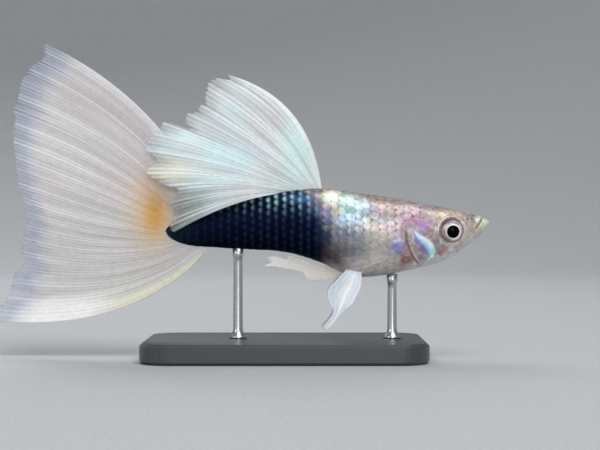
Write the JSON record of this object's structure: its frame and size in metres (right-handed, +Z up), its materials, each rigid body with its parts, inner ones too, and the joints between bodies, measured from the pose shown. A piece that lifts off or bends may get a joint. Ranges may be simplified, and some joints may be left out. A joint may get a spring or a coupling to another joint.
{
  "type": "fancy guppy model",
  "caption": "Life-size still model of a male fancy guppy with spread dorsal and delta tail fins, on a small display stand.",
  "frame": {"origin": "centre of the display base's underside", "axes": "+X towards the fish's snout, +Z up, the fish's right side faces -Y"},
  "size_m": [0.0503, 0.016, 0.0317],
  "materials": {
    "skin_head": "moist skin, silvery pinkish grey with yellow-green lips",
    "gill_cover": "moist, iridescent silver with a bright blue stripe",
    "skin_trunk": "moist fine-scaled skin, silvery beige with a violet, light blue and mint band",
    "skin_tail_stem": "moist fine-scaled skin, blue-black with faint blue-grey dots",
    "eye": "wet gloss, jet black pupil in a silvery pink iris",
    "fin_white": "translucent white membrane with raised rays",
    "fin_clear": "thin clear membrane with pale rays",
    "base": "satin dark acrylic",
    "rod": "satin clear-grey acrylic"
  },
  "bodies": {
    "root": {"head": "skin_head", "gill_cover_left": "gill_cover", "gill_cover_right": "gill_cover", "trunk": "skin_trunk", "tail_stem": "skin_tail_stem", "eye_left": "eye", "eye_right": "eye", "caudal_fin": "fin_white", "dorsal_fin": "fin_white", "anal_fin": "fin_clear", "pelvic_fin_left": "fin_clear", "pelvic_fin_right": "fin_clear", "pectoral_fin_left": "fin_clear", "pectoral_fin_right": "fin_clear", "stand_base": "base", "stand_rod_front": "rod", "stand_rod_rear": "rod"}
  },
  "joints": []
}
